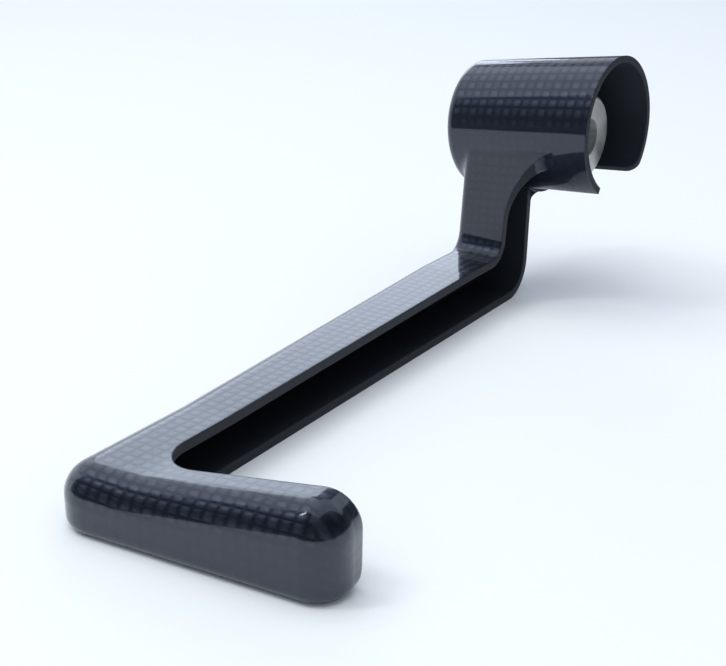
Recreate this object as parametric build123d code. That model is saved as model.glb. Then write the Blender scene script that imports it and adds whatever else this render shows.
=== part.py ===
from build123d import *
import os
from math import cos, radians, sin, tan

# Brake lever guard: a thin carbon moulding and the aluminium bush that the handlebar's end seats on.
# X is the handlebar's axis with inboard at +X, the foot reaches forward along -Y, and Z is up.
# The origin is the centre of the face that the handlebar's end seats on.

# Aluminium bush
bush_diameter = 20.0
bush_length = 26.7
bolt_hole_diameter = 9.0
bush_edge_break = 0.6

# Collar round the handlebar's end, closed at its outboard end and slotted below at its inboard end
mouth_reach = 7.45
mouth_lean = 2.6
collar_radius_inboard = 16.25
collar_radius_outboard = 15.4
collar_wall = 1.5
collar_tilt = 5.8
collar_drop = 0.45
end_wall = 3.6
end_round = 2.5
slot_length = 19.0
slot_near_angle = -122.0
slot_far_angle = -49.0
slot_corner_radius = 3.0

# Channel that makes neck, arm and foot, open towards the lever
skin = 1.9
axis_height = 40.0
arm_lean = 4.4
arm_inner_side = 12.65
arm_width = 13.0
arm_height_front = 11.1
arm_height_rear = 12.9
top_round = 5.5
bottom_round = 2.2

# Neck between arm and collar
neck_back = 1.8
neck_lean = 5.0
neck_sink = 0.7
neck_round = 2.4
neck_bend_radius = 4.0
heel_radius = 8.5
collar_blend_radius = 2.5
flare_radius = 10.0

# Foot across the arm's front end
foot_corner_reach = 151.0
foot_angle = 7.2
foot_length = 52.7
foot_depth = 9.2
foot_rise = 8.0
foot_rise_start = 12.0
foot_rise_radius = 40.0
corner_radius = 6.6
tip_radius = 6.0
tip_heel_radius = 4.0
inner_corner_radius = 8.0

# Places that follow from the sizes
floor = -axis_height
arm_inner = -arm_inner_side
arm_outer = arm_inner - arm_width
arm_place = Rot(0, 0, arm_lean)
foot_cos = cos(radians(foot_angle))
foot_sin = sin(radians(foot_angle))
collar_end = Vector(-bush_length - end_wall, 0, -collar_drop)
collar_along = Vector(cos(radians(collar_tilt)), 0, sin(radians(collar_tilt)))
collar_up = Vector(-sin(radians(collar_tilt)), 0, cos(radians(collar_tilt)))
collar_plane = Plane(collar_end, x_dir=(0, 1, 0), z_dir=collar_along)
collar_length = (mouth_reach - collar_end.X) / collar_along.X
collar_taper = (collar_radius_inboard - collar_radius_outboard) / collar_length
lever_side_spare = flare_radius + skin
front_joint = foot_depth + 2 * inner_corner_radius + corner_radius - foot_corner_reach
rear_joint = -2 * collar_radius_inboard
beyond = 2 * foot_length
touching = 0.01


def foot_point(along, back):
    """A plan point of the foot, measured along its front face and back from it."""
    x = arm_outer + along * foot_cos - back * foot_sin
    y = -foot_corner_reach + along * foot_sin + back * foot_cos
    return (x, y)


def along_at(x, back):
    """How far along the foot the line at this x crosses the line at this depth."""
    return (x - arm_outer + back * foot_sin) / foot_cos


def round_corner(outline, point, radius):
    """The plan outline with the corner nearest to the point rounded."""
    corner = outline.vertices().sort_by_distance((point[0], point[1], 0))[0]
    return fillet(corner, radius)


def foot_outline(inset, spare):
    """Plan of the foot and the arm's front end, outer sides moved in by inset, the lever side out by spare."""
    left = arm_outer + inset
    right = arm_inner + spare
    back = foot_depth + spare
    corner = foot_point(along_at(left, inset), inset)
    tip_front = foot_point(foot_length - inset, inset)
    tip_back = foot_point(foot_length - inset, back)
    inner = foot_point(along_at(right, back), back)
    joint = Polyline(inner, (right, front_joint), (left, front_joint), corner)
    outline = make_face([Polyline(corner, tip_front, tip_back, inner), joint])
    outline = round_corner(outline, corner, corner_radius - inset)
    outline = round_corner(outline, tip_front, tip_radius - inset)
    if spare == 0:
        outline = round_corner(outline, inner, inner_corner_radius)
    return outline


def arm_section(station, height, rounding, inset, spare):
    """Cross-section of the arm at one station along it."""
    left = arm_outer + inset
    right = arm_inner + spare
    bottom = floor + inset
    top = floor + height - inset
    outline = make_face(Polyline((left, bottom), (right, bottom), (right, top), (left, top), close=True))
    outline = round_corner(outline, (left, top), rounding - inset)
    if spare == 0:
        outline = round_corner(outline, (left, bottom), bottom_round)
    return Pos(0, station, 0) * (Plane.XZ * outline)


def neck_front(inset):
    """Plane of the neck's front face, which lies along the collar's near side, just under its skin."""
    near = Vector(0, -cos(radians(neck_lean)), 0) + collar_up * sin(radians(neck_lean))
    station = (arm_inner - arm_width / 2 - collar_end.X) / collar_along.X
    radius = collar_radius_outboard + collar_taper * station
    touch = collar_end + collar_along * station + near * (radius - neck_sink - inset)
    return Plane(touch, x_dir=collar_along, z_dir=near - collar_along * collar_taper)


def foot_space(inset):
    """The space over the rising foot."""
    top = floor + arm_height_front - inset
    flat = Line((arm_outer - beyond, top), (arm_outer + foot_rise_start, top))
    bend = JernArc(flat @ 1, flat % 1, foot_rise_radius, foot_rise)
    ramp = Line(bend @ 1, (bend @ 1) + (bend % 1) * beyond)
    roof = (ramp @ 1).Y + axis_height
    cover = Polyline(ramp @ 1, ((ramp @ 1).X, roof), ((flat @ 0).X, roof), flat @ 0)
    section = Pos(0, -foot_corner_reach - beyond, 0) * (Plane.XZ * make_face([flat, bend, ramp, cover]))
    return extrude(section, foot_corner_reach + beyond, dir=(0, 1, 0))


def shared_edges(some_faces, other_faces):
    """Edges that lie between the first faces and the others."""
    others = [edge for face in other_faces for edge in face.edges()]
    found = [edge for face in some_faces for edge in face.edges()]
    return [edge for edge in found if any(edge.is_same(other) for other in others)]


def on_open_side(edge, spare):
    """Whether an edge lies on the open side of the channel or between two of its lengths."""
    spot = (arm_place.inverse() * Pos(*(edge @ 0.5))).position
    back = (spot.Y + foot_corner_reach) * foot_cos - (spot.X - arm_outer) * foot_sin
    on_lever_side = spot.X > arm_inner + spare - touching and back > foot_depth + spare - touching
    on_joint = min(abs(spot.Y - front_joint), abs(spot.Y - rear_joint)) < touching
    return on_lever_side or on_joint


def rim_edges(body, faces, spare):
    """The outer rim of the given faces: their border edges below the body's top and off the open side."""
    edges = [edge for face in faces for edge in face.edges()]
    top = body.bounding_box().max.Z - touching
    rim = [edge for edge in edges if sum(edge.is_same(other) for other in edges) == 1]
    return [edge for edge in rim if not on_open_side(edge, spare) and (edge @ 0.5).Z < top]


def facing(body, direction, least):
    """Faces of the body whose middle faces the direction."""
    return [face for face in body.faces() if face.normal_at(face.center()).dot(Vector(direction)) > least]


def foot_body(inset, spare):
    """The foot and the arm's front end as one solid form, rounded along its outer edges."""
    block = extrude(Pos(0, 0, floor + inset) * foot_outline(inset, spare), axis_height)
    body = arm_place * (block - foot_space(inset))
    body = body.fillet(top_round - inset, rim_edges(body, facing(body, (0, 0, 1), 0.9), spare))
    if spare == 0:
        body = body.fillet(bottom_round, rim_edges(body, facing(body, (0, 0, -1), 0.9), spare))
    return body


def arm_body(inset, spare):
    """The straight length of the arm, its top edge tightening towards the neck."""
    front = arm_section(front_joint, arm_height_front, top_round, inset, spare)
    rear = arm_section(rear_joint, arm_height_rear, neck_round, inset, spare)
    return arm_place * loft([front, rear], ruled=True)


def neck_body(inset, spare):
    """The arm's rear end and the neck as one solid form, rounded along its outer edges."""
    section = make_face(Polyline(
        (arm_outer + inset, floor + inset),
        (arm_inner + spare, floor + inset),
        (arm_inner + spare, neck_front(0).origin.Z),
        (arm_outer + inset, neck_front(0).origin.Z),
        close=True,
    ))
    length = -neck_back - inset - rear_joint
    block = arm_place * extrude(Pos(0, rear_joint, 0) * (Plane.XZ * section), length, dir=(0, 1, 0))
    over_arm = Pos(0, 0, floor + arm_height_rear - inset) * Rectangle(4 * beyond, 4 * beyond)
    behind = extrude(neck_front(inset) * Rectangle(4 * beyond, 4 * beyond), -beyond)
    body = block - (extrude(over_arm, beyond) - behind)
    half_way = floor + axis_height / 2
    tops = [face for face in facing(body, (0, 0, 1), 0.9) if face.center().Z < half_way]
    fronts = [face for face in facing(body, (0, -1, 0), 0.9) if face.center().Z > half_way]
    body = body.fillet(neck_bend_radius + inset, shared_edges(fronts, tops))
    rears = body.faces().sort_by(Axis.Y)[-1:]
    bottoms = body.faces().sort_by(Axis.Z)[:1]
    body = body.fillet(heel_radius - inset, shared_edges(rears, bottoms))
    tops = [face for face in facing(body, (0, 0, 1), 0.3) if face.center().Z < half_way]
    fronts = [face for face in facing(body, (0, -1, 0), 0.9) if face.center().Z > half_way]
    body = body.fillet(neck_round - inset, rim_edges(body, tops + fronts, spare))
    if spare == 0:
        rears = [face for face in facing(body, (0, 1, 0), 0.9) if face.center().Z > half_way]
        lows = facing(body, (0, 0, -1), 0.3)
        body = body.fillet(bottom_round, rim_edges(body, lows + rears, spare))
    return body


def channel_body(inset, spare):
    """Neck, arm and foot as one solid form."""
    return foot_body(inset, spare) + arm_body(inset, spare) + neck_body(inset, spare)


def collar_form(inset, round_radius):
    """The collar's tapered round form, its sides moved in by inset, carried on past its mouth."""
    end = collar_radius_outboard - inset
    past = 2 * collar_length
    wide = end + collar_taper * past
    section = make_face(Polyline((0, 0), (end, 0), (wide, past), (0, past), close=True))
    if round_radius > 0:
        section = round_corner(section, (end, 0), round_radius)
    side_plane = Plane(collar_end, x_dir=(0, 1, 0), z_dir=-collar_up)
    return revolve(side_plane * section, Axis(collar_end, collar_along), 360)


def collar_body():
    """The collar as a solid form, its mouth cut a little off square to the handlebar's axis."""
    centre = collar_end + collar_along * collar_length
    inboard = Vector(cos(radians(mouth_lean)), 0, sin(radians(mouth_lean)))
    mouth = Plane(centre, x_dir=(0, 1, 0), z_dir=inboard)
    return split(collar_form(0, end_round), mouth, keep=Keep.BOTTOM)


def bush_bore():
    """The collar's hollow, which ends square to the handlebar's axis where the bush seats."""
    seat = Plane((-bush_length, 0, 0), x_dir=(0, 1, 0), z_dir=(1, 0, 0))
    return split(collar_form(collar_wall, 0), seat, keep=Keep.TOP)


def collar_slot():
    """The sector cut from under the collar's inboard end."""
    reach = 2 * collar_radius_inboard
    near = (reach * cos(radians(slot_near_angle)), reach * sin(radians(slot_near_angle)))
    far = (reach * cos(radians(slot_far_angle)), reach * sin(radians(slot_far_angle)))
    sector = make_face(Polyline((0, 0), near, far, close=True))
    start = collar_length - slot_length
    return collar_plane * (Pos(0, 0, start) * extrude(sector, 2 * slot_length))


def blended(channel, collar):
    """Channel and collar joined, with a blend all round and a wider one up the lever side."""
    joined = channel + collar
    spots = [(edge, Vertex(*(edge @ 0.5))) for edge in joined.edges()]
    on_channel = [(edge, spot) for edge, spot in spots if channel.distance_to(spot) < touching]
    ring = [edge for edge, spot in on_channel if collar.distance_to(spot) < touching]
    lever_side = [edge for edge in ring if on_open_side(edge, 0)]
    return joined.fillet(flare_radius, lever_side) + joined.fillet(collar_blend_radius, ring)


def behind_flare(collar):
    """The space behind the lever side's blend, where the back skin runs straight up into the collar."""
    middle = Pos(arm_inner + lever_side_spare / 2, -neck_back - heel_radius / 2, floor / 2)
    return arm_place * (middle * Box(lever_side_spare, heel_radius, axis_height)) - collar


def tongue_corner(body):
    """The corner of the collar's far wall between the slot and the inboard end."""
    angle = radians(slot_far_angle)
    radius = collar_radius_inboard - collar_wall / 2
    down = radius * sin(angle)
    station = collar_length + down * tan(radians(collar_tilt - mouth_lean))
    spot = collar_plane.from_local_coords((radius * cos(angle), down, station))
    return body.edges().sort_by_distance(spot)[:1]


def tip_heel():
    """The lower rear corner of the foot's end wall, which is rounded off."""
    end = foot_point(foot_length, 0)
    plane = Plane((end[0], end[1], floor), x_dir=(-foot_sin, foot_cos, 0), z_dir=(foot_cos, foot_sin, 0))
    square = Pos(foot_depth, 0) * Rectangle(2 * tip_heel_radius, 2 * tip_heel_radius)
    round_part = Pos(foot_depth - tip_heel_radius, tip_heel_radius) * Circle(tip_heel_radius)
    return arm_place * extrude(plane * (square - round_part), skin, both=True)


def guard_moulding():
    """The one-piece carbon moulding."""
    collar = collar_body()
    body = blended(channel_body(0, 0), collar)
    body = body - (channel_body(skin, lever_side_spare) - collar) - behind_flare(collar) - tip_heel()
    body = body - bush_bore() - collar_slot()
    body = body - Rot(0, 90, 0) * Cylinder(bolt_hole_diameter / 2, 2 * collar_length)
    return body.fillet(slot_corner_radius, tongue_corner(body))


def bar_end_insert():
    """The aluminium bush, seated on the collar's end wall."""
    section = Circle(bush_diameter / 2) - Circle(bolt_hole_diameter / 2)
    bush = Plane.YZ * (Pos(0, 0, -bush_length) * extrude(section, bush_length))
    rims = bush.edges().filter_by(GeomType.CIRCLE).group_by(SortBy.RADIUS)[-1]
    return chamfer(rims, bush_edge_break)


os.makedirs("parts", exist_ok=True)
export_step(guard_moulding(), "parts/guard_moulding.step")
export_step(bar_end_insert(), "parts/bar_end_insert.step")
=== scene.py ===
from math import pi, radians

import bpy
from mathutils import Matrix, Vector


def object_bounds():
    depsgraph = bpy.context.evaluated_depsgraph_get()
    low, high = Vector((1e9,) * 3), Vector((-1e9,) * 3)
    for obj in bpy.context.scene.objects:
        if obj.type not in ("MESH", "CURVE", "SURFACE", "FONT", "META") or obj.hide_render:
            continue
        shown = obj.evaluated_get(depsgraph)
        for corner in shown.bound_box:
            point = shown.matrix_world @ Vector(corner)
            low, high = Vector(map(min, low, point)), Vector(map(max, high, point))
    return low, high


# Camera, solved from the photographed edges
camera_place = (0.1264, -0.2537, 0.0611)
camera_turn = 39.69
camera_pitch = 21.8
camera_lens = 58.9
camera_shift = 0.0697
camera_nearest = 0.01

# Where the carbon cloth runs, in metres and degrees
arm_lean = 4.4
top_start = (-0.0289, -0.1192)
top_slope = 0.0208
ramp_start = -0.0108
ramp_slope = 0.1405
collar_end = (-0.0303, 0.0, -0.00045)
collar_tilt = 5.8
collar_reach = 0.0170
collar_radius = 0.0160
tow_on_arm = 0.00215
tow_on_collar = 0.0023

# Where the bare laminate shows, in metres along and across the arm
lever_side_limit = -0.0016
foot_back_limit = -0.1
ceiling_bottom = -0.0365
trough_top = -0.0355
neck_inner_face = -0.0035
neck_inner_bottom = -0.031
neck_outer_face = -0.0115
tip_inner_face = -0.005

# How far a face turns towards a side to count as facing it
facing_side = 0.35
facing_level = 0.3
facing_out = 0.5
facing_end = 0.8
front_margin = 0.3

# The noise textures' useful range
noise_range = (0.3, 0.7)

# The weave's form and colours
fibres_in_tow = 26.0
tow_side_roundness = 0.7
tow_end_roundness = 0.9
crossing_shade = -0.4
fibre_shades = (0.8, 1.1)
lit_crowns = (0.15, 0.95)
# Painted highlight: the weave's crowns are painted brighter on faces that turn upwards, as if lit from
# above
top_highlight_facing = (0.0, 0.5)
top_highlight_share = (0.3, 1.0)
crown_height = 0.0002
crown_strength = 0.5
edge_softness = 0.0005
edge_samples = 6
# Valley and crest colours: the weave pattern, with a painted highlight on each bright crown
weave_valley = (0.025, 0.031, 0.051, 1)
weave_crest_and_highlight = (0.071, 0.080, 0.112, 1)
bare_laminate = (0.016, 0.020, 0.028, 1)
metal_share = 0.9
fibre_roughness = (0.38, 0.5)
laminate_roughness = 0.6
coat_roughness = 0.04
coat_ior = 1.5
laminate_gloss = 0.25

# The turned bush
ring_feed = 0.00035
ring_depth = 0.00002
ring_strength = 0.25
smudge_scale = 220.0
bush_end_facing = 0.7
bush_roughness = (0.48, 0.6)
dull_aluminium = (0.70, 0.71, 0.70, 1)
bright_aluminium = (0.82, 0.82, 0.80, 1)

# Studio colours and the world's strengths for soft light and for what is seen
floor_colour = (0.92, 0.95, 0.975, 1)
black_colour = (0.02, 0.02, 0.022, 1)
grey_colour = (0.5, 0.5, 0.52, 1)
world_colour = (0.81, 0.895, 1.0, 1)
world_light = 0.58
world_seen = 1.0


def new_material(name):
    """An empty node material and its shader."""
    material = bpy.data.materials.new(name)
    material.use_nodes = True
    return material, material.node_tree.nodes["Principled BSDF"]


def put(tree, socket, value):
    """Sets an input to a number or links it to another node's output."""
    if isinstance(value, bpy.types.NodeSocket):
        tree.links.new(value, socket)
    else:
        socket.default_value = value


def calc(tree, operation, *values):
    """The result of a math node."""
    node = tree.nodes.new("ShaderNodeMath")
    node.operation = operation
    for socket, value in zip(node.inputs, values):
        put(tree, socket, value)
    return node.outputs[0]


def split_axes(tree, vector):
    """The three parts of a vector."""
    node = tree.nodes.new("ShaderNodeSeparateXYZ")
    put(tree, node.inputs[0], vector)
    return node.outputs[0], node.outputs[1], node.outputs[2]


def joined_axes(tree, x, y, z):
    """A vector of three values."""
    node = tree.nodes.new("ShaderNodeCombineXYZ")
    for socket, value in zip(node.inputs, (x, y, z)):
        put(tree, socket, value)
    return node.outputs[0]


def turned(tree, vector, axis, degrees):
    """A vector turned about an axis."""
    node = tree.nodes.new("ShaderNodeVectorRotate")
    node.rotation_type = axis
    put(tree, node.inputs["Vector"], vector)
    node.inputs["Angle"].default_value = radians(degrees)
    return node.outputs[0]


def blended(tree, share, first, second):
    """A value between two, the second where the share is one."""
    node = tree.nodes.new("ShaderNodeMix")
    put(tree, node.inputs[0], share)
    put(tree, node.inputs[2], first)
    put(tree, node.inputs[3], second)
    return node.outputs[0]


def colour_between(tree, share, first, second):
    """A colour between two, the second where the share is one."""
    node = tree.nodes.new("ShaderNodeMix")
    node.data_type = "RGBA"
    put(tree, node.inputs[0], share)
    put(tree, node.inputs[6], first)
    put(tree, node.inputs[7], second)
    return node.outputs[2]


def from_range(tree, value, low, high, new_low, new_high):
    """A value carried smoothly from one range to another."""
    node = tree.nodes.new("ShaderNodeMapRange")
    node.interpolation_type = "SMOOTHSTEP"
    for socket, number in zip(node.inputs, (value, low, high, new_low, new_high)):
        put(tree, socket, number)
    return node.outputs[0]


def all_of(tree, first, *others):
    """One where all the conditions hold."""
    result = first
    for other in others:
        result = calc(tree, "MULTIPLY", result, other)
    return result


def any_of(tree, first, *others):
    """One where any of the conditions holds."""
    result = first
    for other in others:
        result = calc(tree, "MAXIMUM", result, other)
    return result


def over(tree, value, limit):
    """One where the value is over the limit."""
    return calc(tree, "GREATER_THAN", value, limit)


def under(tree, value, limit):
    """One where the value is under the limit."""
    return calc(tree, "LESS_THAN", value, limit)


def object_place(tree):
    """The place on the object."""
    return tree.nodes.new("ShaderNodeTexCoord").outputs["Object"]


def surface_normal(tree):
    """The way that the surface faces."""
    return tree.nodes.new("ShaderNodeNewGeometry").outputs["Normal"]


def bump_from(tree, height, strength, distance):
    """A bump node driven by a height."""
    bump = tree.nodes.new("ShaderNodeBump")
    bump.inputs["Strength"].default_value = strength
    bump.inputs["Distance"].default_value = distance
    put(tree, bump.inputs["Height"], height)
    return bump


def distance_from_axis(tree, y, z):
    """How far a place is from the X axis."""
    return calc(tree, "SQRT", calc(tree, "ADD", calc(tree, "POWER", y, 2.0), calc(tree, "POWER", z, 2.0)))


def in_arm_frame(tree):
    """Place and facing along and across the arm."""
    spot = split_axes(tree, turned(tree, object_place(tree), "Z_AXIS", -arm_lean))
    facing = split_axes(tree, turned(tree, surface_normal(tree), "Z_AXIS", -arm_lean))
    return spot, facing


def in_collar_frame(tree):
    """Place and facing along the collar's axis and across it."""
    from_end = tree.nodes.new("ShaderNodeVectorMath")
    from_end.operation = "SUBTRACT"
    put(tree, from_end.inputs[0], object_place(tree))
    from_end.inputs[1].default_value = collar_end
    spot = split_axes(tree, turned(tree, from_end.outputs[0], "Y_AXIS", collar_tilt))
    facing = split_axes(tree, turned(tree, surface_normal(tree), "Y_AXIS", collar_tilt))
    return spot, facing


def cloth_over_hook(tree):
    """Places on the cloth that covers the foot, the arm and the neck, in metres."""
    spot, facing = in_arm_frame(tree)
    x, y, z = spot
    beyond_ramp = calc(tree, "MAXIMUM", calc(tree, "SUBTRACT", x, ramp_start), 0.0)
    ramp = calc(tree, "MULTIPLY", beyond_ramp, ramp_slope)
    rise = calc(tree, "MAXIMUM", calc(tree, "SUBTRACT", y, top_start[1]), 0.0)
    level = calc(tree, "MULTIPLY_ADD", rise, top_slope, top_start[0])
    drop = calc(tree, "SUBTRACT", calc(tree, "SUBTRACT", z, level), ramp)
    sideways = calc(tree, "ADD", calc(tree, "ABSOLUTE", facing[0]), front_margin)
    front = over(tree, calc(tree, "ABSOLUTE", facing[1]), sideways)
    side = calc(tree, "SUBTRACT", 1.0, front)
    u = calc(tree, "ADD", x, calc(tree, "MULTIPLY", drop, side))
    v = calc(tree, "ADD", y, calc(tree, "MULTIPLY", drop, front))
    return u, v


def cloth_coordinates(tree):
    """Places on the carbon cloth, counted in tows, over the hook and round the collar."""
    hook_u, hook_v = cloth_over_hook(tree)
    (along, far, up), facing = in_collar_frame(tree)
    around = calc(tree, "MULTIPLY", calc(tree, "ARCTAN2", up, far), collar_radius)
    on_end = under(tree, facing[0], -facing_end)
    collar_u = blended(tree, on_end, along, far)
    collar_v = blended(tree, on_end, around, up)
    on_collar = under(tree, distance_from_axis(tree, far, up), collar_reach)
    hook_u = calc(tree, "DIVIDE", hook_u, tow_on_arm)
    hook_v = calc(tree, "DIVIDE", hook_v, tow_on_arm)
    u = blended(tree, on_collar, hook_u, calc(tree, "DIVIDE", collar_u, tow_on_collar))
    v = blended(tree, on_collar, hook_v, calc(tree, "DIVIDE", collar_v, tow_on_collar))
    return u, v


def inside_share(tree):
    """One on the raw edges and inner faces, which carry neither show cloth nor clear coat."""
    (x, y, z), (facing_x, facing_y, facing_z) = in_arm_frame(tree)
    to_lever = over(tree, facing_x, facing_side)
    to_bar = over(tree, facing_y, facing_side)
    lever_side = all_of(tree, to_lever, under(tree, x, lever_side_limit))
    foot_back = all_of(tree, to_bar, under(tree, y, foot_back_limit))
    ceiling = all_of(tree, under(tree, facing_z, -facing_level), over(tree, z, ceiling_bottom))
    trough = all_of(tree, over(tree, facing_z, facing_level), under(tree, z, trough_top))
    neck_front = all_of(tree, to_bar, under(tree, y, neck_inner_face), over(tree, z, neck_inner_bottom))
    neck_back = all_of(tree, under(tree, facing_y, -facing_side), over(tree, y, neck_outer_face))
    tip = all_of(tree, under(tree, facing_x, -facing_side), over(tree, x, tip_inner_face))
    hook = any_of(tree, lever_side, foot_back, ceiling, trough, neck_front, neck_back, tip)
    (_, far, up), (facing_along, facing_far, facing_up) = in_collar_frame(tree)
    radius = distance_from_axis(tree, far, up)
    across = calc(tree, "MULTIPLY_ADD", far, facing_far, calc(tree, "MULTIPLY", up, facing_up))
    outward = calc(tree, "DIVIDE", across, radius)
    skin = any_of(tree, over(tree, outward, facing_out), under(tree, facing_along, -facing_out))
    collar = calc(tree, "SUBTRACT", 1.0, skin)
    share = blended(tree, under(tree, radius, collar_reach), hook, collar)
    return any_of(tree, share, lever_side)


def plain_weave(tree, u, v):
    """A plain weave's crown height, its crossing parity and the fine lines of its fibres."""
    cell_u = calc(tree, "FLOOR", u)
    cell_v = calc(tree, "FLOOR", v)
    cell = calc(tree, "ADD", cell_u, cell_v)
    in_u = calc(tree, "SUBTRACT", calc(tree, "SUBTRACT", u, cell_u), 0.5)
    in_v = calc(tree, "SUBTRACT", calc(tree, "SUBTRACT", v, cell_v), 0.5)
    parity = calc(tree, "FLOORED_MODULO", cell, 2.0)
    across = blended(tree, parity, in_u, in_v)
    along = blended(tree, parity, in_v, in_u)
    side_fall = calc(tree, "COSINE", calc(tree, "MULTIPLY", across, pi))
    end_fall = calc(tree, "COSINE", calc(tree, "MULTIPLY", along, pi))
    side_crown = calc(tree, "POWER", side_fall, tow_side_roundness)
    end_crown = calc(tree, "POWER", end_fall, tow_end_roundness)
    crown = calc(tree, "MULTIPLY", side_crown, end_crown)
    streaks = tree.nodes.new("ShaderNodeTexNoise")
    streaks.inputs["Scale"].default_value = 1.0
    streaks.inputs["Detail"].default_value = 2.0
    fibre_place = joined_axes(tree, calc(tree, "MULTIPLY", across, fibres_in_tow), along, cell)
    put(tree, streaks.inputs["Vector"], fibre_place)
    return crown, parity, streaks.outputs["Fac"]


def carbon_material():
    """Woven carbon under a clear gloss coat, with bare dark laminate inside and on the cut edges."""
    material, shader = new_material("carbon_weave")
    tree = material.node_tree
    u, v = cloth_coordinates(tree)
    crown, parity, streaks = plain_weave(tree, u, v)
    inside = inside_share(tree)
    outside = calc(tree, "SUBTRACT", 1.0, inside)
    # Painted highlight: the crowns grow brighter as the face turns upwards, as if lit from above; the same
    # factor also lowers the crown bump on faces that do not turn up
    facing_up = split_axes(tree, surface_normal(tree))[2]
    painted_top_highlight = from_range(tree, facing_up, *top_highlight_facing, *top_highlight_share)
    crown = calc(tree, "MULTIPLY", crown, painted_top_highlight)
    # The crown tone is partly the weave pattern and partly a painted highlight on each crown
    lit_crown = from_range(tree, crown, *lit_crowns, 0.0, 1.0)
    fibre_shade = from_range(tree, streaks, *noise_range, *fibre_shades)
    tow_shade = calc(tree, "MULTIPLY_ADD", parity, crossing_shade, 1.0)
    tone = all_of(tree, lit_crown, fibre_shade, tow_shade)
    woven = colour_between(tree, tone, weave_valley, weave_crest_and_highlight)
    put(tree, shader.inputs["Base Color"], colour_between(tree, inside, woven, bare_laminate))
    soft_edge = tree.nodes.new("ShaderNodeBevel")
    soft_edge.samples = edge_samples
    soft_edge.inputs["Radius"].default_value = edge_softness
    put(tree, shader.inputs["Coat Normal"], soft_edge.outputs[0])
    bump = bump_from(tree, calc(tree, "MULTIPLY", crown, outside), crown_strength, crown_height)
    put(tree, bump.inputs["Normal"], soft_edge.outputs[0])
    put(tree, shader.inputs["Normal"], bump.outputs[0])
    cloth_roughness = from_range(tree, streaks, *noise_range, *fibre_roughness)
    put(tree, shader.inputs["Roughness"], blended(tree, inside, cloth_roughness, laminate_roughness))
    put(tree, shader.inputs["Metallic"], calc(tree, "MULTIPLY", outside, metal_share))
    put(tree, shader.inputs["Coat Weight"], outside)
    shader.inputs["Specular IOR Level"].default_value = laminate_gloss
    shader.inputs["Coat Roughness"].default_value = coat_roughness
    shader.inputs["Coat IOR"].default_value = coat_ior
    return material


def aluminium_material():
    """Turned aluminium with fine tool rings."""
    material, shader = new_material("turned_aluminium")
    tree = material.node_tree
    place = object_place(tree)
    x, y, z = split_axes(tree, place)
    facing_along = calc(tree, "ABSOLUTE", split_axes(tree, surface_normal(tree))[0])
    on_end = over(tree, facing_along, bush_end_facing)
    ring_place = blended(tree, on_end, x, distance_from_axis(tree, y, z))
    feed = calc(tree, "MULTIPLY", ring_place, 2 * pi / ring_feed)
    rings = calc(tree, "MULTIPLY_ADD", calc(tree, "SINE", feed), 0.5, 0.5)
    smudge = tree.nodes.new("ShaderNodeTexNoise")
    smudge.inputs["Scale"].default_value = smudge_scale
    put(tree, smudge.inputs["Vector"], place)
    smudged = from_range(tree, smudge.outputs["Fac"], *noise_range, 0.0, 1.0)
    put(tree, shader.inputs["Base Color"], colour_between(tree, smudged, dull_aluminium, bright_aluminium))
    put(tree, shader.inputs["Normal"], bump_from(tree, rings, ring_strength, ring_depth).outputs[0])
    dullness = from_range(tree, smudge.outputs["Fac"], *noise_range, *bush_roughness)
    put(tree, shader.inputs["Roughness"], dullness)
    shader.inputs["Metallic"].default_value = 1.0
    return material


def matt_material(name, colour, roughness, gloss):
    """A plain matt colour for the studio."""
    material, shader = new_material(name)
    shader.inputs["Base Color"].default_value = colour
    shader.inputs["Roughness"].default_value = roughness
    shader.inputs["Specular IOR Level"].default_value = gloss
    return material


def card(name, material, place, turn, size):
    """A flat square of the studio, which isn't part of the object."""
    angles = [radians(angle) for angle in turn]
    bpy.ops.mesh.primitive_plane_add(size=1, location=place, rotation=angles)
    sheet = bpy.context.object
    sheet.name = name
    sheet.scale = (size[0], size[1], 1)
    sheet.data.materials.append(material)
    return sheet


def mirrored_card(name, material, place, turn, size):
    """A card that only the gloss shows, as a thing out of the picture."""
    sheet = card(name, material, place, turn, size)
    sheet.visible_camera = False
    sheet.visible_diffuse = False
    sheet.visible_shadow = False


def softbox(name, power, colour, place, turn, size):
    """A soft rectangular lamp."""
    data = bpy.data.lights.new(name, "AREA")
    data.shape = "RECTANGLE"
    data.size = size[0]
    data.size_y = size[1]
    data.energy = power
    data.color = colour
    lamp = bpy.data.objects.new(name, data)
    lamp.location = place
    lamp.rotation_euler = [radians(angle) for angle in turn]
    bpy.context.collection.objects.link(lamp)
    return lamp


def build_cards(floor_height):
    """Pale floor, and the dark room and grey flag that the gloss mirrors."""
    paper = matt_material("floor_paper", floor_colour, roughness=0.8, gloss=0.1)
    black = matt_material("black_card", black_colour, roughness=0.9, gloss=0.5)
    grey = matt_material("grey_card", grey_colour, roughness=0.9, gloss=0.5)
    card("floor", paper, place=(0, 0, floor_height), turn=(0, 0, 0), size=(3, 3))
    mirrored_card("front_card", black, place=(0.45, -0.43, 0.55), turn=(90, 0, 0), size=(2.1, 1.19))
    mirrored_card("back_card", black, place=(0.9, 1.2, 0.18), turn=(90, 0, 0), size=(3.3, 0.44))
    mirrored_card("right_card", black, place=(0.95, 1.1, 0.36), turn=(90, 0, -25), size=(1.5, 0.8))
    mirrored_card("side_card", black, place=(0.75, 0.1, 1.0), turn=(90, 0, 90), size=(1.5, 2.1))
    mirrored_card("upper_card", black, place=(-0.71, 1.09, 0.96), turn=(90, 22, 33), size=(0.7, 0.68))
    mirrored_card("flag_card", grey, place=(-0.097, 0.17, 0.114), turn=(90, 0, 0), size=(0.106, 0.074))


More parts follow.
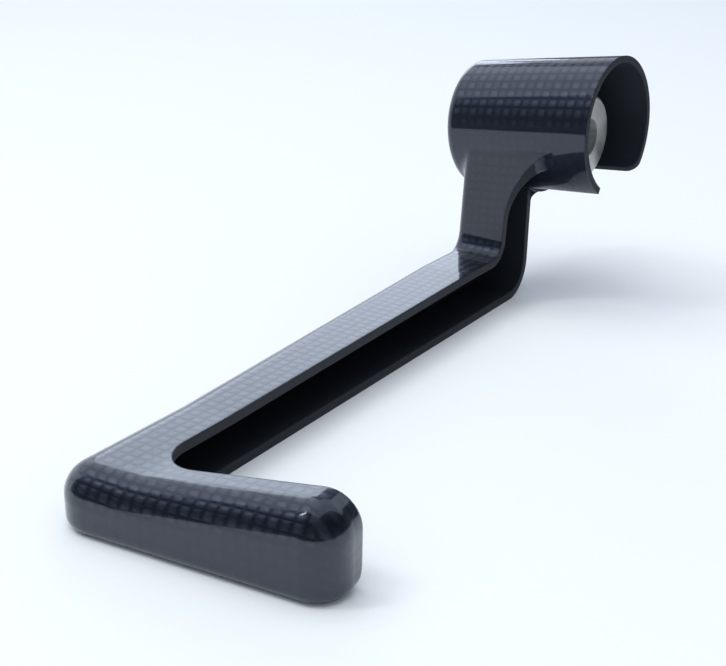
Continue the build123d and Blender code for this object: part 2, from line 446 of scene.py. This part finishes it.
def build_lamps():
    """A bluish softbox behind, a small key lamp in front and a wide soft lamp above."""
    softbox("back_softbox", power=3.2, colour=(0.74, 0.84, 1.0),
            place=(-1.09, 1.17, 0.66), turn=(-66, 0, 43), size=(1.0, 0.62))
    softbox("key_lamp", power=0.7, colour=(0.95, 0.98, 1.0),
            place=(-0.26, -0.40, 0.56), turn=(35, 0, -45), size=(0.06, 0.24))
    top = softbox("top_softbox", power=16.0, colour=(1.0, 0.985, 0.965),
                  place=(-0.3, -0.4, 1.55), turn=(18, 0, -37), size=(1.7, 1.5))
    top.visible_glossy = False


def build_world():
    """A white world where it is seen or mirrored, and a softer one as light."""
    world = bpy.data.worlds.new("studio")
    bpy.context.scene.world = world
    world.use_nodes = True
    tree = world.node_tree
    rays = tree.nodes.new("ShaderNodeLightPath").outputs
    seen = any_of(tree, rays["Is Camera Ray"], rays["Is Glossy Ray"], rays["Is Transmission Ray"])
    background = tree.nodes["Background"]
    background.inputs["Color"].default_value = world_colour
    put(tree, background.inputs["Strength"], from_range(tree, seen, 0.0, 1.0, world_light, world_seen))


def build_camera():
    """The camera at the photograph's angle."""
    data = bpy.data.cameras.new("photo_camera")
    data.lens = camera_lens
    data.shift_x = camera_shift
    data.clip_start = camera_nearest
    camera = bpy.data.objects.new("photo_camera", data)
    camera.location = camera_place
    camera.rotation_euler = (radians(90 - camera_pitch), 0, radians(camera_turn))
    bpy.context.collection.objects.link(camera)
    bpy.context.scene.camera = camera


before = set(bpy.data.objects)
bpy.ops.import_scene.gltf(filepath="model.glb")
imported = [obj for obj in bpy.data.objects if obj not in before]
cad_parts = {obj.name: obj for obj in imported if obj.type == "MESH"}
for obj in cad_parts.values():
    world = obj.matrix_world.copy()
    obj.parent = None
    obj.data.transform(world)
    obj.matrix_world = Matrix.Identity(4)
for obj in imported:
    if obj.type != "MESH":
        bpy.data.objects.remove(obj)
cad_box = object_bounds()
bpy.context.scene.view_settings.view_transform = "Standard"
finishes = {"guard_moulding": carbon_material(), "bar_end_insert": aluminium_material()}
for name, finish in finishes.items():
    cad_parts[name].data.materials.clear()
    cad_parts[name].data.materials.append(finish)
build_cards(cad_box[0][2])
build_lamps()
build_world()
build_camera()
